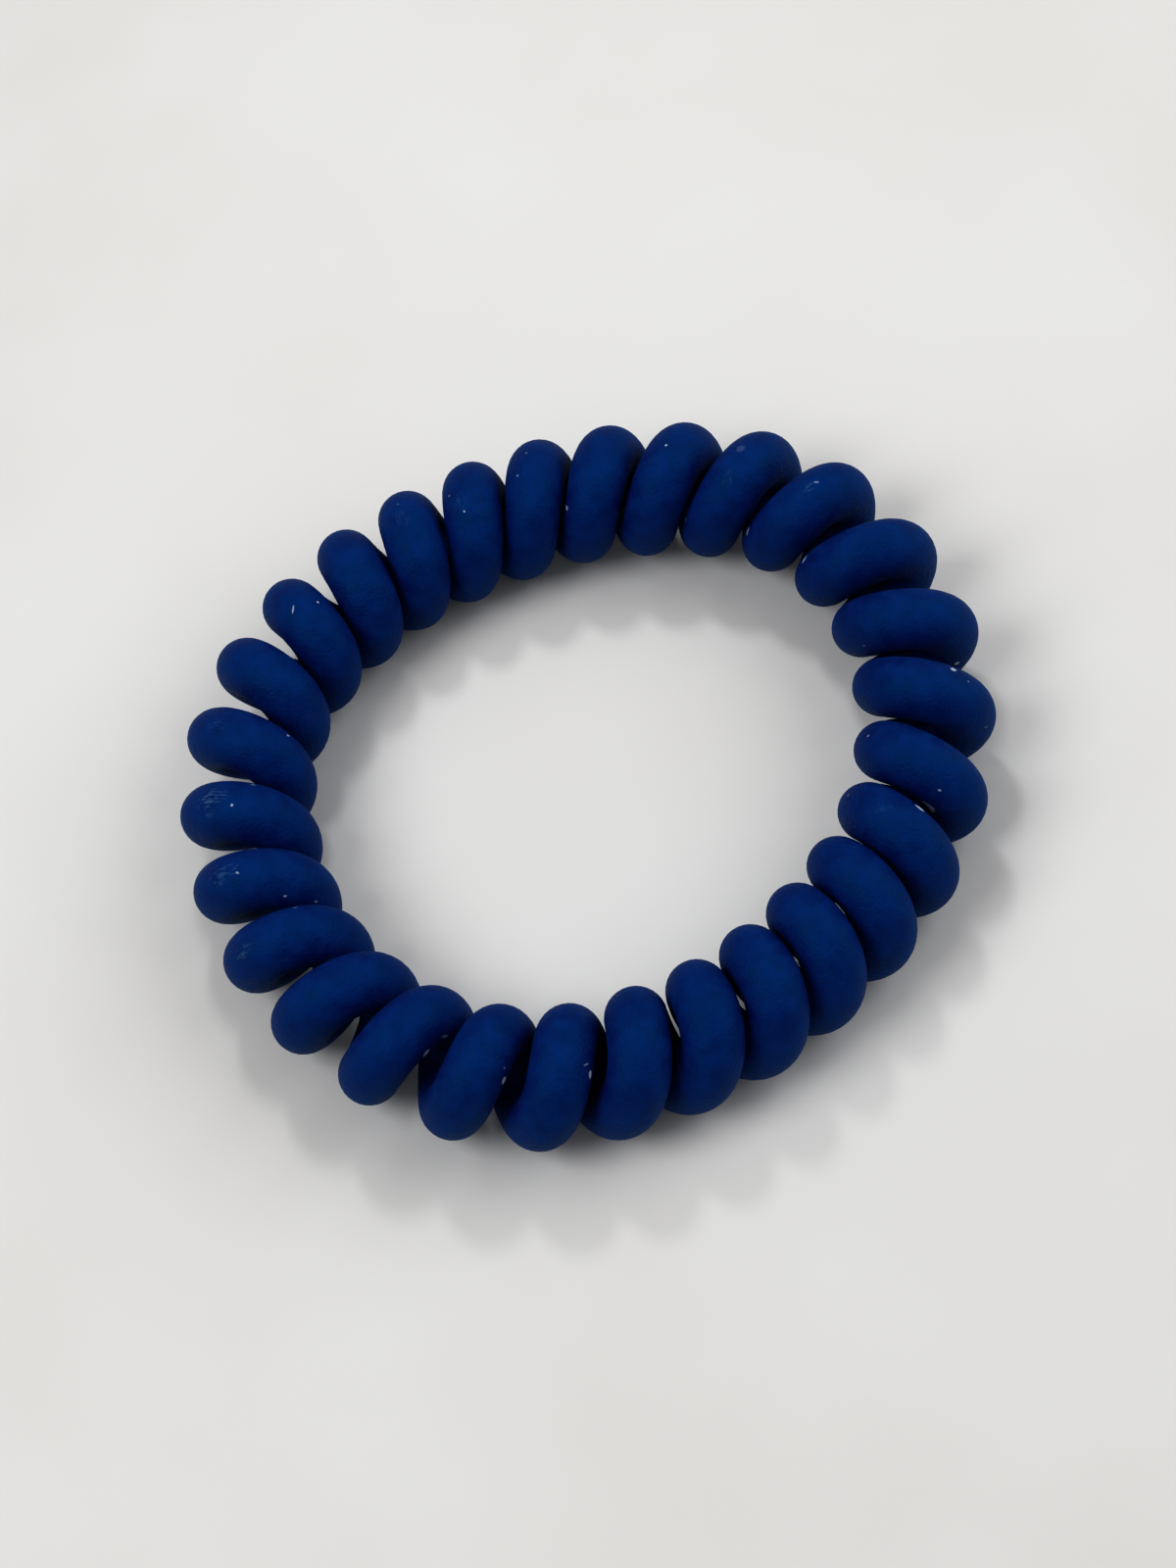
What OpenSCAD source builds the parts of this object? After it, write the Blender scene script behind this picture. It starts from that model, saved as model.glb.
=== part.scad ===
// Spiral hair tie: one round cord of soft plastic, wound in a tight left-handed coil. The coil is bent
// into a ring and joined end to end, so the cord has no start and no end. The ring lies flat. The origin
// is on the surface that it lies on, under the middle of its outline. +Z is up, in millimetres.

/* [Ring] */
// Outside diameter of the ring, over its turns
ring_d = 55; // [50:0.5:70]
// Outside diameter of the coil, which is how high the ring stands
coil_d = 9.5; // [9:0.1:11]

/* [Cord] */
// Diameter of the cord where nothing presses on it
cord_d = 4.2; // [3.6:0.1:4.5]
// Least clearance between neighbouring turns
turn_gap = 0.12; // [0.06:0.02:0.4]

/* [Facets] */
// Sides of the cord's section
cord_sides = 10; // [8:1:12]
// Quarter turns are cut into this many lengths
quarter_steps = 4; // [3:1:5]

/* [Hidden] */

// Radius of the ring's middle line, and of the cord's middle line round it
ring_r = (ring_d - coil_d) / 2;
wind_r = (coil_d - cord_d) / 2;

// How many turns fit side by side along the inner side. A turn that crosses at a slant takes a little
// more of the ring than its own width.
turn_w = cord_d + turn_gap;
turn_pitch = turn_w * wind_r / sqrt(wind_r ^ 2 - (turn_w / (2 * PI)) ^ 2);
turns = floor(2 * PI * (ring_r - wind_r) / turn_pitch);

// How the ring lies, with a row for every 30 degrees round it from +X. Reach is how far its middle line
// stands outside a true circle, as a share of ring_r. The leads are how many degrees each turn stands
// ahead of an even spacing, at its outer side, its inner side and its top.
// Columns: reach, outer lead, inner lead, top lead
lie = [
    [ 0.060,  0.0,  0.5, -2.5],
    [ 0.080,  3.0,  1.0, -1.5],
    [-0.005,  2.0,  0.0, -0.5],
    [-0.055,  0.5,  0.0, -1.0],
    [-0.025, -1.0, -0.5, -0.5],
    [ 0.030, -1.5, -1.0, -0.5],
    [ 0.025, -0.5,  0.0,  0.0],
    [ 0.030,  0.0,  0.5,  0.0],
    [ 0.030,  2.5,  0.0,  1.0],
    [-0.020,  1.0, -1.0,  2.0],
    [-0.035, -1.5, -1.5,  1.0],
    [ 0.010, -3.0, -1.0, -1.5]
];
reach = 0;
outer_lead = 1;
inner_lead = 2;
top_lead = 3;

// Bearing of the first turn's outermost point, in degrees
first_bearing = 2;

turn_steps = 4 * quarter_steps;
step_count = turns * turn_steps;

// Row of the table, counted on round the ring
function lie_row(i) = lie[(i + len(lie)) % len(lie)];

// Value of a column at a bearing, on a smooth curve through the four rows round it
function lie_at(column, bearing) =
    let (
        place = bearing / 360 * len(lie),
        i = floor(place),
        part = place - i,
        before = lie_row(i - 1)[column],
        from = lie_row(i)[column],
        to = lie_row(i + 1)[column],
        after = lie_row(i + 2)[column],
        bend = 2 * before - 5 * from + 4 * to - after,
        twist = 3 * (from - to) + after - before
    )
    from + part * (to - before + part * (bend + part * twist)) / 2;

// Angle round the coil at a step: 0 is the ring's outer side, 90 its top, 180 its inner side
function coil_angle(i) = 360 * i / turn_steps;

// Bearing of the cord at a step
function bearing_at(i) =
    let (
        even = 360 * i / step_count,
        outer = (1 + cos(coil_angle(i))) / 2,
        lead = outer * lie_at(outer_lead, even)
            + (1 - outer) * lie_at(inner_lead, even)
            + sin(coil_angle(i)) * lie_at(top_lead, even)
    )
    first_bearing + even + lead;

// Unit vector from the coil's middle line out through the cord
function outward(i) = [
    cos(coil_angle(i)) * cos(bearing_at(i)),
    cos(coil_angle(i)) * sin(bearing_at(i)),
    sin(coil_angle(i))
];

// Point of the cord's middle line
function route_point(i) =
    let (middle_r = ring_r * (1 + lie_at(reach, 360 * i / step_count)))
    middle_r * [cos(bearing_at(i)), sin(bearing_at(i)), 0] + wind_r * outward(i);

route = [for (i = [0 : step_count - 1]) route_point(i)];
function route_at(i) = route[(i + step_count) % step_count];
function unit(v) = v / norm(v);
function heading(i) = unit(route_at(i + 1) - route_at(i - 1));

// Distance from a step to the middle line of the turn so many steps on
function distance_to(i, steps) = norm(cross(route_at(i + steps) - route_at(i), heading(i)));

// Width of the cord at a step: its own, or what its nearer neighbour leaves of it
function cord_w(i) = min(
    cord_d,
    distance_to(i, turn_steps) - turn_gap,
    distance_to(i, -turn_steps) - turn_gap
);

// One section of the cord, square to its heading
function section(i) =
    let (
        sideways = unit(cross(heading(i), outward(i))),
        lift = cross(sideways, heading(i))
    )
    [for (k = [0 : cord_sides - 1])
        let (turn = 360 * k / cord_sides)
        route_at(i) + cos(turn) * cord_d / 2 * lift + sin(turn) * cord_w(i) / 2 * sideways
    ];

skin = [for (i = [0 : step_count - 1]) each section(i)];

// Number of a point of the skin, counted on past the join and round the section
function skin_point(i, k) = (i % step_count) * cord_sides + k % cord_sides;

skin_faces = [
    for (i = [0 : step_count - 1])
        for (k = [0 : cord_sides - 1])
            each [
                [skin_point(i, k), skin_point(i + 1, k), skin_point(i + 1, k + 1)],
                [skin_point(i, k), skin_point(i + 1, k + 1), skin_point(i, k + 1)]
            ]
];

// Lowest and highest of the skin's points along one axis
function low(axis) = min([for (p = skin) p[axis]]);
function high(axis) = max([for (p = skin) p[axis]]);

// The closed coil, set down on the surface with its outline centred
module coiled_cord() {
    color([0.02, 0.09, 0.3])
        translate([-(low(0) + high(0)) / 2, -(low(1) + high(1)) / 2, -low(2)])
            polyhedron(points = skin, faces = skin_faces);
}

coiled_cord();
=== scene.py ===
from math import atan2, cos, floor, pi, radians, sin, sqrt

import bmesh
import bpy
from mathutils import Matrix, Vector
from mathutils.bvhtree import BVHTree


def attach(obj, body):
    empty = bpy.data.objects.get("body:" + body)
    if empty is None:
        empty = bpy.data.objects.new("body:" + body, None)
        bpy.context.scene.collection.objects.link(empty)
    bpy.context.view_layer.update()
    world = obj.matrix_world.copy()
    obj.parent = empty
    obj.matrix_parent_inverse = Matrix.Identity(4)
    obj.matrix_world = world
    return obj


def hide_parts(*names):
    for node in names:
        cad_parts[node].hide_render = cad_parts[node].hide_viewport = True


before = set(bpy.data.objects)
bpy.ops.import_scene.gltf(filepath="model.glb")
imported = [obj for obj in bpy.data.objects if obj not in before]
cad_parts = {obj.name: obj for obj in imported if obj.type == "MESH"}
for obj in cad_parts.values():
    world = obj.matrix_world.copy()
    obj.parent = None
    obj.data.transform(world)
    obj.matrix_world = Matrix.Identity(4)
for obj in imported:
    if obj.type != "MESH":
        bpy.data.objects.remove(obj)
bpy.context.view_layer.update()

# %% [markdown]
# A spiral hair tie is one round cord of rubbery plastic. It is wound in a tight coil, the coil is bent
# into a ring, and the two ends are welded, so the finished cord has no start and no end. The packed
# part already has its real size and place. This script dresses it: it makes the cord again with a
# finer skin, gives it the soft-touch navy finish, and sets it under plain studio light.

MM = 0.001

# %% [markdown]
# The camera comes first, because everything is judged through it. It stands in front of the ring and
# looks down at 60 degrees, as somebody does who sits at a table. The picture is turned a little, as
# when a camera is held askew. A direction and a turn about it are easier to read than three angles,
# so the camera's axes are built from them.

# %% Camera
PICTURE_H = 1600            # pixels of the upright picture
FOCAL_PX = 3421             # focal length in those pixels
SENSOR = 36                 # mm, along the picture's longer side
LOOK_AT = Vector((-0.4, -0.6, 4.0)) * MM
DISTANCE = 230 * MM
LOOK_DOWN = radians(60)
PICTURE_TURN = radians(-18.3)
CLIP_NEAR = 10 * MM         # nothing nearer than this is shown
CLIP_FAR = 3                # metres, and nothing further than this


def make_camera():
    """The camera, its back axis raised by LOOK_DOWN and its picture turned about that axis."""
    data = bpy.data.cameras.new("camera")
    data.sensor_width = SENSOR
    data.lens = FOCAL_PX / PICTURE_H * SENSOR
    data.clip_start = CLIP_NEAR
    data.clip_end = CLIP_FAR
    # A camera looks along its own -Z, so its +Z has to point back at the viewer.
    back = Vector((0, -cos(LOOK_DOWN), sin(LOOK_DOWN)))
    axes = back.to_track_quat("Z", "Y").to_matrix() @ Matrix.Rotation(PICTURE_TURN, 3, "Z")
    camera = bpy.data.objects.new("camera", data)
    camera.matrix_world = Matrix.Translation(LOOK_AT + back * DISTANCE) @ axes.to_4x4()
    bpy.context.collection.objects.link(camera)
    bpy.context.scene.camera = camera
    return camera


camera = make_camera()
print("camera at", [round(value / MM) for value in camera.location], "mm")
print("lens:", round(camera.data.lens, 1), "mm")

# %% [markdown]
# The coil has few sizes: how wide the ring is, how thick the coil is, and how thick the cord is. The
# number of turns follows from them, since the turns lie side by side along the ring's inner side. A
# real tie never lies as a perfect circle with even turns. The short table says how this one lies: how
# far the ring bulges at each bearing, and how far its turns lean ahead or behind.

# %% Sizes of the coil
RING_D = 55 * MM
COIL_D = 9.5 * MM
CORD_D = 4.2 * MM
TURN_GAP = 0.12 * MM        # clearance where two turns press on each other

# A row for every 30 degrees round the ring from +X. The reach is a share of the ring's radius, and
# the leads are degrees.
# Columns: reach, outer lead, inner lead, top lead
LIE = [
    (0.060, 0.0, 0.5, -2.5),
    (0.080, 3.0, 1.0, -1.5),
    (-0.005, 2.0, 0.0, -0.5),
    (-0.055, 0.5, 0.0, -1.0),
    (-0.025, -1.0, -0.5, -0.5),
    (0.030, -1.5, -1.0, -0.5),
    (0.025, -0.5, 0.0, 0.0),
    (0.030, 0.0, 0.5, 0.0),
    (0.030, 2.5, 0.0, 1.0),
    (-0.020, 1.0, -1.0, 2.0),
    (-0.035, -1.5, -1.5, 1.0),
    (0.010, -3.0, -1.0, -1.5),
]
REACH, OUTER_LEAD, INNER_LEAD, TOP_LEAD = range(4)
FIRST_BEARING = 2           # degrees, of the first turn's outermost point

ring_r = (RING_D - COIL_D) / 2
wind_r = (COIL_D - CORD_D) / 2
turn_w = CORD_D + TURN_GAP
turn_pitch = turn_w * wind_r / sqrt(wind_r ** 2 - (turn_w / (2 * pi)) ** 2)
turns = floor(2 * pi * (ring_r - wind_r) / turn_pitch)
print(turns, "turns, one for each", round(turn_pitch / MM, 2), "mm of the inner side")

# %% [markdown]
# The cord's route is worked out by a formula, because a coil is one: while the bearing goes once round
# the ring, the cord goes once round the coil for each turn. The table is read on a smooth curve
# through its rows, so that no kink shows where one row ends.

# %% The cord's route
TURN_STEPS = 64
step_count = turns * TURN_STEPS


def lie_at(column, share):
    """Value of a column of the table at a share of the way round the ring."""
    place = share * len(LIE)
    row = floor(place)
    part = place - row
    before, here, there, after = (LIE[(row + k) % len(LIE)][column] for k in (-1, 0, 1, 2))
    bend = 2 * before - 5 * here + 4 * there - after
    twist = 3 * (here - there) + after - before
    return here + part * (there - before + part * (bend + part * twist)) / 2


def coil_point(step):
    """Point of the cord's middle line, and the unit vector there away from the coil's middle line."""
    share = step / step_count
    round_coil = 2 * pi * step / TURN_STEPS
    outer = (1 + cos(round_coil)) / 2
    lead = (outer * lie_at(OUTER_LEAD, share)
            + (1 - outer) * lie_at(INNER_LEAD, share)
            + sin(round_coil) * lie_at(TOP_LEAD, share))
    bearing = radians(FIRST_BEARING + 360 * share + lead)
    ring_out = Vector((cos(bearing), sin(bearing), 0))
    outward = ring_out * cos(round_coil) + Vector((0, 0, sin(round_coil)))
    return ring_out * ring_r * (1 + lie_at(REACH, share)) + outward * wind_r, outward


route = [coil_point(step) for step in range(step_count)]
cord_length = sum((route[step][0] - route[step - 1][0]).length for step in range(step_count))
print("the cord is", round(cord_length / MM), "mm long")

# %% [markdown]
# A cord can be made as a curve with a round bevel, but this one is squeezed where two turns press on
# each other. So a circle is carried along the route, and at each step a matrix gives the circle its
# place, its tilt and its squeezed width.

# %% The section's matrix at each step


def section_matrix(step):
    """Matrix that brings a unit circle to the cord's section at a step."""
    place, outward = route[step % step_count]
    heading = (route[(step + 1) % step_count][0] - route[(step - 1) % step_count][0]).normalized()
    width = CORD_D
    for neighbour in (step + TURN_STEPS, step - TURN_STEPS):
        apart = (route[neighbour % step_count][0] - place).cross(heading).length
        width = min(width, apart - TURN_GAP)
    sideways = heading.cross(outward).normalized()
    lift = sideways.cross(heading)
    turned = Matrix((lift, sideways, heading)).transposed().to_4x4()
    size = Matrix.Diagonal((CORD_D / 2, width / 2, CORD_D / 2, 1))
    return Matrix.Translation(place) @ turned @ size


sections = [section_matrix(step) for step in range(step_count)]
squeezed = [matrix.to_scale().y / matrix.to_scale().x for matrix in sections]
print("the cord keeps at least", round(min(squeezed), 2), "of its width")

# %% [markdown]
# The skin is swept a turn at a time. A circle is made, its edge is extruded, and the new edge is moved
# on to the next section. Working on one turn at a time keeps each mesh small, which is much faster
# than extruding from a mesh that already holds the whole cord. Two numbers go with each vertex: its
# step along the cord and its place round the section. They become the UV map, which counts turns
# along the cord and shares of the way round it, so that a mark can later be put on a chosen turn.

# %% One turn of the cord
CORD_SIDES = 32
WINDING = "winding"             # name of the cord's UV map


def first_rim(bm):
    """A unit circle whose first vertex is at -X, which ends up on the coil's inside."""
    side_of = bm.verts.layers.int.new("side")
    rim = bmesh.ops.create_circle(bm, segments=CORD_SIDES, radius=1)["verts"]
    start = atan2(rim[0].co.y, rim[0].co.x)
    bmesh.ops.rotate(bm, verts=rim, matrix=Matrix.Rotation(pi - start, 3, "Z"))
    for side, vert in enumerate(rim):
        vert[side_of] = side
    return rim


def write_winding(bm, turn):
    """UV map of a turn: U counts turns along the cord, V is the share of the way round it."""
    step_of = bm.verts.layers.int["step"]
    side_of = bm.verts.layers.int["side"]
    winding = bm.loops.layers.uv.new(WINDING)
    for face in bm.faces:
        # The last face round the section comes back to side 0, which counts as a full round there.
        at_seam = {0, CORD_SIDES - 1} <= {vert[side_of] for vert in face.verts}
        for loop in face.loops:
            side = loop.vert[side_of]
            if at_seam and side == 0:
                side = CORD_SIDES
            loop[winding].uv = (turn + loop.vert[step_of] / TURN_STEPS, side / CORD_SIDES)


def sweep_turn(turn):
    """A bmesh of one turn: TURN_STEPS short lengths of tube, open at both ends."""
    bm = bmesh.new()
    step_of = bm.verts.layers.int.new("step")
    rim = first_rim(bm)
    first = turn * TURN_STEPS
    bmesh.ops.transform(bm, matrix=sections[first], verts=rim)
    edges = bm.edges[:]
    for step in range(1, TURN_STEPS + 1):
        made = bmesh.ops.extrude_edge_only(bm, edges=edges)["geom"]
        rim = [part for part in made if isinstance(part, bmesh.types.BMVert)]
        edges = [part for part in made if isinstance(part, bmesh.types.BMEdge) and part.is_boundary]
        for vert in rim:
            vert[step_of] = step
        here, there = first + step - 1, (first + step) % step_count
        bmesh.ops.transform(bm, matrix=sections[there] @ sections[here].inverted(), verts=rim)
    write_winding(bm, turn)
    return bm


sample = sweep_turn(0)
print("one turn has", len(sample.faces), "faces")
sample.free()

# %% [markdown]
# The turns are joined and welded where one ends and the next begins, so the mesh is closed like the
# real cord. Its normals are worked out again, and smooth shading hides the facets. It is set down as
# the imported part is, on the floor and with its outline centred, and then stands for that part.

# %% The whole cord
WELD = 0.01 * MM                # far less than the gap between turns


def join_turns():
    """One closed bmesh of all the turns, on the floor, with its outline centred."""
    whole = bmesh.new()
    for turn in range(turns):
        bm = sweep_turn(turn)
        piece = bpy.data.meshes.new("turn")
        bm.to_mesh(piece)
        bm.free()
        whole.from_mesh(piece)
        bpy.data.meshes.remove(piece)
    bmesh.ops.remove_doubles(whole, verts=whole.verts, dist=WELD)
    bmesh.ops.recalc_face_normals(whole, faces=whole.faces)
    for face in whole.faces:
        face.smooth = True
    low = Vector([min(vert.co[axis] for vert in whole.verts) for axis in range(3)])
    high = Vector([max(vert.co[axis] for vert in whole.verts) for axis in range(3)])
    to_floor = Vector((-(low.x + high.x) / 2, -(low.y + high.y) / 2, -low.z))
    bmesh.ops.translate(whole, verts=whole.verts, vec=to_floor)
    return whole


def cord_object():
    """The cord as an object at the origin."""
    whole = join_turns()
    mesh = bpy.data.meshes.new("cord")
    whole.to_mesh(mesh)
    open_edges = sum(not edge.is_manifold for edge in whole.edges)
    whole.free()
    # The UV map now holds what these two told.
    for name in ("step", "side"):
        mesh.attributes.remove(mesh.attributes[name])
    made = bpy.data.objects.new("cord", mesh)
    bpy.context.collection.objects.link(made)
    print("the cord has", len(mesh.polygons) * 2, "triangles and", open_edges, "open edges")
    return made


cord = cord_object()
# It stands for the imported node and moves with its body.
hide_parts("coiled_cord")
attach(cord, "root")

# %% [markdown]
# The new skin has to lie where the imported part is. A tree of its faces finds the nearest point of the
# skin fast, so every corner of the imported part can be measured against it.

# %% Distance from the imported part
skin = BVHTree.FromPolygons([vert.co for vert in cord.data.vertices],
                            [face.vertices for face in cord.data.polygons])
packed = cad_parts["coiled_cord"].data.vertices
print("furthest corner of the packed part from the new skin:",
      round(max(skin.find_nearest(vert.co)[3] for vert in packed) / MM, 3), "mm")

# %% [markdown]
# Materials are built from nodes. Small helpers keep the cells short. The first adds a node and feeds
# its inputs, and the next ones add the kinds of node that come often. The last one starts a node
# group with named sockets. A group is an effect that is built once and used with other values in each
# material.

# %% Helpers for nodes


def put(tree, kind, inputs=None, **settings):
    """Adds a node. Each input is given a value, or the output socket that feeds it."""
    made = tree.nodes.new(kind)
    for name, value in settings.items():
        setattr(made, name, value)
    for name, value in (inputs or {}).items():
        if isinstance(value, bpy.types.NodeSocket):
            tree.links.new(value, made.inputs[name])
        else:
            made.inputs[name].default_value = value
    return made


def math_node(tree, operation, *values):
    """Output of a Math node."""
    return put(tree, "ShaderNodeMath", dict(enumerate(values)), operation=operation).outputs[0]


def noise(tree, place, scale, detail, roughness=0.5, distortion=0.0):
    """Output of a Noise Texture node, which is 0.5 on average."""
    inputs = {"Vector": place, "Scale": scale, "Detail": detail, "Roughness": roughness,
              "Distortion": distortion}
    return put(tree, "ShaderNodeTexNoise", inputs).outputs[0]


def ramp(tree, value, start, end, low=0.0, high=1.0):
    """Output of a smooth step from low to high while the value goes from start to end."""
    inputs = {"Value": value, "From Min": start, "From Max": end, "To Min": low, "To Max": high}
    made = put(tree, "ShaderNodeMapRange", inputs, interpolation_type="SMOOTHSTEP")
    return made.outputs["Result"]


def start_group(name, inputs, outputs):
    """An empty group: its tree, the sockets that bring its inputs and those that take its outputs."""
    # Columns of inputs: name, first value. The value None makes a vector socket.
    tree = bpy.data.node_groups.new(name, "ShaderNodeTree")
    for title, value in inputs:
        kind = "NodeSocketVector" if value is None else "NodeSocketFloat"
        socket = tree.interface.new_socket(title, in_out="INPUT", socket_type=kind)
        if value is not None:
            socket.default_value = value
    for title in outputs:
        tree.interface.new_socket(title, in_out="OUTPUT", socket_type="NodeSocketFloat")
    return tree, tree.nodes.new("NodeGroupInput").outputs, tree.nodes.new("NodeGroupOutput").inputs


# %% [markdown]
# Soft-touch plastic isn't smooth like glass. It has a fine even grain, far smaller than the cord, and
# its colour drifts a little from place to place. Both come from noise at two sizes. The grain goes to
# a Bump node, which tilts the light without any more faces, and the drift goes to the colour.

# %% Group for grain and drift
NOISE_PER_M = 1 / MM            # noise of scale 1000 per metre has features of about a millimetre
DRIFT_SPAN = (0.3, 0.7)         # values of its noise at which the drift is none and full

# Columns: how many finer sizes of noise are added, and how strong each is beside the one before
GRAIN_DETAIL = (2, 0.6)
DRIFT_DETAIL = (3, 0.55)


def make_grain_group():
    """Grain is a height from 0 to 1, drift is a mask from 0 to 1."""
    inputs = [("Place", None), ("Grain mm", 0.2), ("Drift mm", 3.0)]
    tree, source, result = start_group("grain", inputs, ["Grain", "Drift"])
    fine = math_node(tree, "DIVIDE", NOISE_PER_M, source["Grain mm"])
    wide = math_node(tree, "DIVIDE", NOISE_PER_M, source["Drift mm"])
    grain = noise(tree, source["Place"], fine, *GRAIN_DETAIL)
    drift = noise(tree, source["Place"], wide, *DRIFT_DETAIL)
    tree.links.new(grain, result["Grain"])
    tree.links.new(ramp(tree, drift, *DRIFT_SPAN), result["Drift"])
    return tree


grain_group = make_grain_group()
print("group:", grain_group.name)

# %% [markdown]
# A hair tie lives in pockets and on wrists, so lint sticks to its soft skin and its shoulders get
# rubbed. Such marks could be painted on a picture, but marks that are worked out from a few numbers
# stay sharp close up and are easy to move. Each is a small oval at a place on the cord, given by the
# UV map: the whole part of U is the turn, its fraction is how far round the coil, and V is how far
# round the cord. The group measures how far a point is from the mark in millimetres, turns that to the
# mark's own length and width, and puts out a mask. The outer side of a turn is longer than its middle
# line, so the way from U to millimetres is an input. A noise is added to the distance: a little of it
# makes the edge ragged, and more of it breaks the whole mark up.

# %% Group for one mark
TURN_MM = cord_length / turns / MM      # length of one turn
ROUND_MM = pi * CORD_D / MM             # way once round the cord
EDGE = (1.3, 0.7)                       # a mark fades in between these shares of its half size


def vector_node(tree, operation, *values):
    """Vector that a Vector Math node puts out."""
    inputs = dict(enumerate(values))
    return put(tree, "ShaderNodeVectorMath", inputs, operation=operation).outputs["Vector"]


def make_mark_group():
    """A mask that is 1 in an oval. To mm is how long a turn is there, and the way once round."""
    inputs = [("Winding", None), ("Spot", None), ("To mm", None), ("Half size", None), ("Tilt", 0.0),
              ("Strength", 1.0), ("Ragged", 0.0)]
    tree, source, result = start_group("mark", inputs, ["Mask"])
    away = vector_node(tree, "SUBTRACT", source["Winding"], source["Spot"])
    away = vector_node(tree, "MULTIPLY", away, source["To mm"])
    away = put(tree, "ShaderNodeVectorRotate", {"Vector": away, "Angle": source["Tilt"]},
               rotation_type="Z_AXIS", invert=True).outputs[0]
    away = vector_node(tree, "DIVIDE", away, source["Half size"])
    reach = put(tree, "ShaderNodeVectorMath", {0: away}, operation="LENGTH").outputs["Value"]
    reach = math_node(tree, "ADD", reach, source["Ragged"])
    mask = math_node(tree, "MULTIPLY", ramp(tree, reach, *EDGE), source["Strength"])
    tree.links.new(mask, result["Mask"])
    return tree


mark_group = make_mark_group()
print("a turn is", round(TURN_MM, 1), "mm long and the cord", round(ROUND_MM, 1), "mm round")

# %% [markdown]
# The marks are in two tables, so that one is added, moved or taken away in a row. Specks are small,
# pale and sharp: most are lint, and three are pale spots at the edges of creases between turns. Scuffs
# are larger and fainter, on the outer shoulders of a few turns.

# %% Specks and scuffs
# Columns of both: turn, share round the cord, length and width in mm, tilt in degrees, strength
SPECKS = [
    (12.37, 0.41, 0.24, 0.20, 0, 1.0),
    (10.27, 0.41, 0.22, 0.16, 0, 0.9),
    (4.23, 0.51, 0.20, 0.18, 0, 0.9),
    (10.25, 0.54, 0.62, 0.13, 50, 0.7),
    (25.22, 0.65, 0.75, 0.50, 20, 1.0),
    (26.12, 0.19, 0.90, 0.50, 0, 1.0),
    (26.08, 0.16, 0.60, 0.40, 80, 1.0),
    (27.95, 0.25, 0.40, 0.34, 0, 1.0),
    (27.18, 0.58, 0.45, 0.42, 0, 1.0),
    (18.21, 0.75, 0.44, 0.60, 0, 1.0),
    (18.24, 0.70, 0.18, 0.16, 0, 0.4),
    (19.21, 0.72, 0.44, 0.50, 0, 1.0),
    (19.23, 0.67, 0.50, 0.12, 60, 0.4),
    (17.26, 0.78, 0.50, 0.60, 0, 1.0),
    (17.36, 0.77, 0.70, 0.24, 30, 0.5),
    # This row and the next put pale spots on the edges of creases between turns.
    (2.49, 0.67, 0.44, 0.56, 0, 1.0),
    (1.46, 0.66, 0.50, 0.44, 0, 1.0),
    (14.22, 0.52, 0.30, 0.15, 30, 0.6),
    (26.39, 0.54, 0.18, 0.18, 0, 0.7),
    (13.25, 0.54, 0.20, 0.20, 0, 0.8),
    (26.15, 0.34, 0.20, 0.16, 0, 0.7),
    (2.23, 0.49, 0.40, 0.17, 35, 0.4),
    (26.39, 0.27, 0.30, 0.16, 0, 0.5),
    (14.34, 0.69, 0.22, 0.18, 0, 0.7),
    (7.30, 0.54, 0.18, 0.16, 0, 0.8),
    (14.44, 0.69, 0.22, 0.18, 0, 0.5),
    (3.49, 0.67, 0.28, 0.26, 0, 0.5),
    # This row puts a pale spot on the edge of a crease between turns.
    (5.40, 0.67, 0.34, 0.40, 0, 0.8),
    (7.24, 0.61, 0.18, 0.16, 0, 0.5),
    (6.26, 0.57, 0.18, 0.16, 0, 0.5),
    (27.14, 0.52, 0.16, 0.14, 0, 0.4),
    (27.03, 0.36, 0.36, 0.12, -55, 0.3),
    (15.29, 0.39, 0.36, 0.16, 0, 0.4),
    (13.28, 0.38, 0.36, 0.16, 0, 0.5),
    (25.40, 0.53, 0.40, 0.12, 55, 0.3),
    (6.19, 0.52, 0.18, 0.18, 0, 0.3),
    (0.38, 0.36, 0.18, 0.16, 0, 0.3),
    (3.22, 0.53, 0.70, 0.60, 0, 0.1),
    (8.19, 0.50, 0.16, 0.14, 0, 0.3),
]
SCUFFS = [
    (13.19, 0.49, 2.60, 1.50, -10, 1.0),
    (13.20, 0.58, 1.20, 0.60, 0, 0.4),
    (14.18, 0.50, 2.60, 1.40, -10, 0.7),
    (15.14, 0.51, 1.80, 1.00, 0, 0.9),
    (3.30, 0.49, 1.40, 0.90, 0, 0.3),
    (2.26, 0.49, 1.40, 0.90, 0, 0.5),
    (12.20, 0.50, 1.80, 1.20, 0, 0.3),
    (8.24, 0.52, 1.80, 1.20, 0, 0.3),
    (7.27, 0.55, 1.40, 1.00, 0, 0.3),
    (25.27, 0.50, 1.60, 0.90, 0, 0.3),
]
print(len(SPECKS), "specks and", len(SCUFFS), "scuffs")

# %% [markdown]
# The mark group is placed once for each row, and the greatest of the masks counts, so that marks can
# lie over each other. Fine noise frays the edges of the specks. The scuffs come from brushing against
# things, so their noise is drawn out along the cord and breaks them into thin streaks.

# %% Masks of lint and scuffs
LINT_FRAY = 9 * NOISE_PER_M     # noise along the edges of lint has about 9 features a millimetre
LINT_DETAIL = 1                 # finer sizes of noise that are added
STREAKS_PER_MM = 2.6            # along the cord
STREAK_SLIM = 3                 # a streak is this many times longer than wide
STREAK_DETAIL = (4, 0.5, 0.6)   # finer sizes, how strong each is, and how wavy the streaks are
WHOLE, BROKEN = 0.60, 0.44      # values of that noise at which a scuff stays whole and is broken up
BREAK = 1.6                     # what is added to the distance where it is broken up


def use(tree, group, inputs):
    """Outputs of a group that is placed in a material."""
    return put(tree, "ShaderNodeGroup", inputs, node_tree=group).outputs


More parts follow.
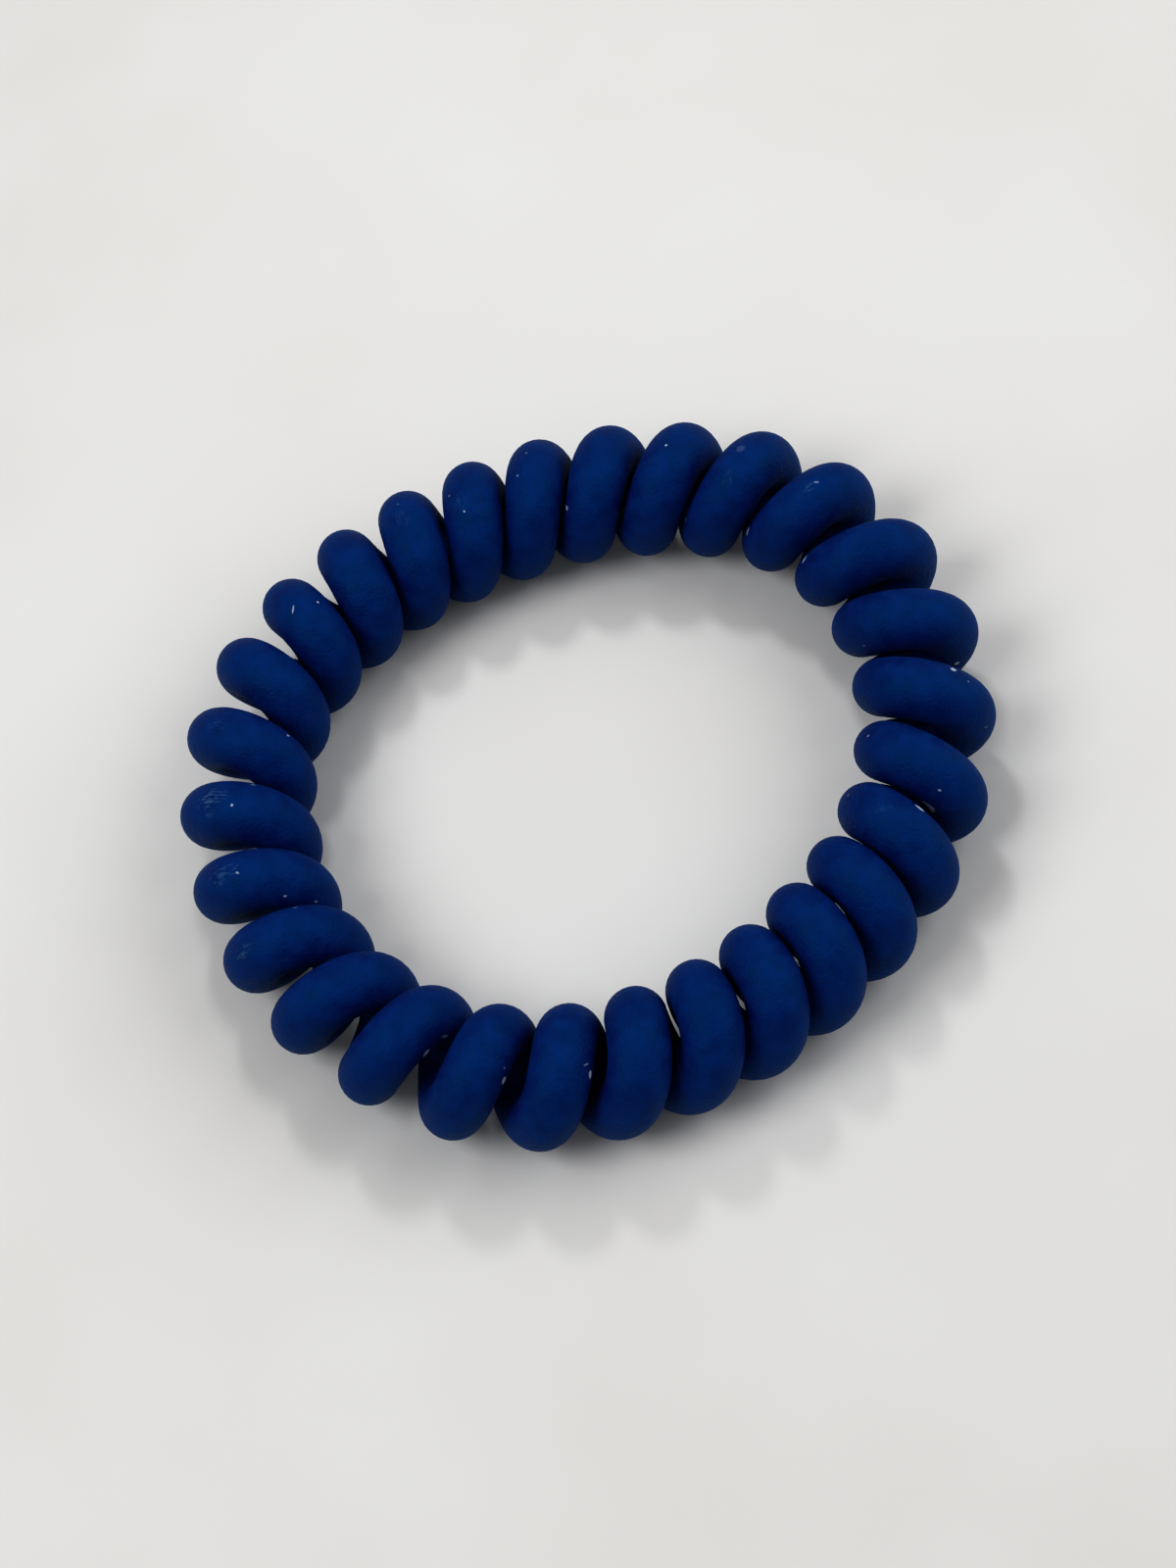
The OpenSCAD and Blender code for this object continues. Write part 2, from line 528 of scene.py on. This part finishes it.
def most_of(tree, rows, winding, ragged):
    """Greatest of the masks of a table's rows."""
    most = None
    for turn, share, length, width, tilt, strength in rows:
        # How many times longer than its middle line a turn is at this share. The third half size isn't
        # 0, because it is divided by.
        longer = 1 - CORD_D / 2 / wind_r * cos(2 * pi * share)
        mask = use(tree, mark_group, {
            "Winding": winding, "Spot": (turn, share, 0), "To mm": (TURN_MM * longer, ROUND_MM, 0),
            "Half size": (length / 2, width / 2, 1), "Tilt": radians(tilt), "Strength": strength,
            "Ragged": ragged})["Mask"]
        most = mask if most is None else math_node(tree, "MAXIMUM", most, mask)
    return most


def lint_mask(tree, winding, place):
    """Where the specks lie, lint and the pale spots in creases alike, with slightly ragged edges."""
    fray = noise(tree, place, LINT_FRAY, LINT_DETAIL)
    return most_of(tree, SPECKS, winding, math_node(tree, "SUBTRACT", fray, 0.5))


def scuff_mask(tree, winding):
    """Where the skin is rubbed, broken into streaks along the cord."""
    run = vector_node(tree, "MULTIPLY", winding, (TURN_MM, STREAK_SLIM * ROUND_MM, 0))
    streaks = noise(tree, run, STREAKS_PER_MM, *STREAK_DETAIL)
    return most_of(tree, SCUFFS, winding, ramp(tree, streaks, WHOLE, BROKEN, 0, BREAK))


print("streaks are about", round(1 / STREAKS_PER_MM, 1), "mm long")

# %% [markdown]
# Navy soft-touch plastic is a deep blue with hardly any red in it. It scatters light evenly, so it is
# rough and hardly shines. Where it does shine, on top of each turn, the blue leans to teal, which the
# specular tint gives. The colour is built in layers, as on the real thing: the drift of the blue first,
# then the scuffs, then the lint that lies on top.

# %% The navy finish
# Colours: linear red, green and blue, and opacity
NAVY = (0.0006, 0.0034, 0.112, 1)
NAVY_WORN = (0.0020, 0.0160, 0.152, 1)      # where the drift is full
SHEEN = (0.02, 1.0, 0.75, 1)                # tint of the shine
RUBBED = (0.045, 0.078, 0.200, 1)           # colour of the scuffs
LINT = (0.42, 0.46, 0.58, 1)
GRAIN_MM = 0.25
DRIFT_MM = 1.3
GRAIN_HEIGHT = 0.08 * MM
NAVY_ROUGHNESS = (0.64, 0.74)   # where the drift is none and full
NAVY_SPECULAR = 0.44


def blend(tree, share, first, second):
    """Colour between two colours. A Mix node's sockets for colours are inputs 6 and 7 and output 2."""
    mix = put(tree, "ShaderNodeMix", {0: share, 6: first, 7: second}, data_type="RGBA")
    return mix.outputs[2]


def start_material(name):
    """A new material, its node tree and its Principled BSDF."""
    material = bpy.data.materials.new(name)
    material.use_nodes = True
    return material, material.node_tree, material.node_tree.nodes["Principled BSDF"]


def make_navy():
    """Matte navy with grain, drift, scuffs and specks."""
    material, tree, shader = start_material("soft_touch_navy")
    place = put(tree, "ShaderNodeTexCoord").outputs["Object"]
    winding = put(tree, "ShaderNodeUVMap", uv_map=WINDING).outputs["UV"]
    grain = use(tree, grain_group, {"Place": place, "Grain mm": GRAIN_MM, "Drift mm": DRIFT_MM})
    colour = blend(tree, grain["Drift"], NAVY, NAVY_WORN)
    colour = blend(tree, scuff_mask(tree, winding), colour, RUBBED)
    colour = blend(tree, lint_mask(tree, winding, place), colour, LINT)
    tree.links.new(colour, shader.inputs["Base Color"])
    tree.links.new(ramp(tree, grain["Drift"], 0, 1, *NAVY_ROUGHNESS), shader.inputs["Roughness"])
    shader.inputs["Specular IOR Level"].default_value = NAVY_SPECULAR
    shader.inputs["Specular Tint"].default_value = SHEEN
    bump = put(tree, "ShaderNodeBump", {"Distance": GRAIN_HEIGHT, "Height": grain["Grain"]})
    tree.links.new(bump.outputs["Normal"], shader.inputs["Normal"])
    return material


cord.data.materials.append(make_navy())
print("finish:", cord.data.materials[0].name)

# %% [markdown]
# The tie lies on a pale, faintly glossy table. One big square made by create_grid is enough.

# %% Floor
FLOOR_HALF = 1.5                # metres
FLOOR = (0.655, 0.65, 0.64, 1)
FLOOR_PALE = (0.685, 0.685, 0.68, 1)
FLOOR_DRIFT_MM = 40
FLOOR_ROUGHNESS = (0.45, 0.55)  # where the drift is none and full
FLOOR_SPECULAR = 0.3


def make_floor():
    """A square plane at the height of the tie's underside."""
    bm = bmesh.new()
    bmesh.ops.create_grid(bm, x_segments=1, y_segments=1, size=FLOOR_HALF)
    mesh = bpy.data.meshes.new("floor")
    bm.to_mesh(mesh)
    bm.free()
    floor_object = bpy.data.objects.new("floor", mesh)
    bpy.context.collection.objects.link(floor_object)
    return floor_object


def make_floor_finish():
    """Pale, with a faint drift."""
    material, tree, shader = start_material("floor")
    place = put(tree, "ShaderNodeTexCoord").outputs["Object"]
    drift = use(tree, grain_group, {"Place": place, "Drift mm": FLOOR_DRIFT_MM})["Drift"]
    tree.links.new(blend(tree, drift, FLOOR, FLOOR_PALE), shader.inputs["Base Color"])
    tree.links.new(ramp(tree, drift, 0, 1, *FLOOR_ROUGHNESS), shader.inputs["Roughness"])
    shader.inputs["Specular IOR Level"].default_value = FLOOR_SPECULAR
    return material


table = make_floor()
table.data.materials.append(make_floor_finish())
print("floor:", 2 * FLOOR_HALF, "m square")

# %% [markdown]
# The shadows tell where the light comes from. Two wide lamps, on the right and on the left, give the
# soft shadows on both sides of the cord. A small one behind throws the fainter, sharper shadow towards
# the front, in which each turn shows as a scallop. A pale room fills the rest. The wider a lamp looks
# from the tie, the softer its shadow, so its width matters as much as its watts. The view's look adds
# contrast, as a camera's own picture style does.

# %% Lights
# The bearing from +X and the height above the floor are in degrees, the lengths in metres.
# Columns: name, bearing, height, distance, width, watts
LAMPS = [
    ("right lamp", 0, 39, 0.40, 0.34, 0.55),
    ("left lamp", 190, 54, 0.40, 0.24, 0.55),
    ("back lamp", 82, 53, 0.26, 0.04, 0.09),
]
ROOM = (1.0, 0.99, 0.975, 1)
ROOM_STRENGTH = 0.29


def hang_lamp(name, bearing, height, distance, width, watts):
    """A round lamp that faces the tie."""
    data = bpy.data.lights.new(name, "AREA")
    data.shape = "DISK"
    data.size = width
    data.energy = watts
    bearing, height = radians(bearing), radians(height)
    # A lamp shines along its own -Z, so its +Z has to point away from the tie.
    to_lamp = Vector((cos(bearing) * cos(height), sin(bearing) * cos(height), sin(height)))
    lamp = bpy.data.objects.new(name, data)
    lamp.location = to_lamp * distance
    lamp.rotation_euler = to_lamp.to_track_quat("Z", "Y").to_euler()
    bpy.context.collection.objects.link(lamp)


for lamp_row in LAMPS:
    hang_lamp(*lamp_row)

world = bpy.data.worlds.new("room")
bpy.context.scene.world = world
world.use_nodes = True
background = world.node_tree.nodes["Background"]
background.inputs["Color"].default_value = ROOM
background.inputs["Strength"].default_value = ROOM_STRENGTH
view = bpy.context.scene.view_settings
view.view_transform = "Standard"
view.look = "High Contrast"
print(len(LAMPS), "lamps and the room")
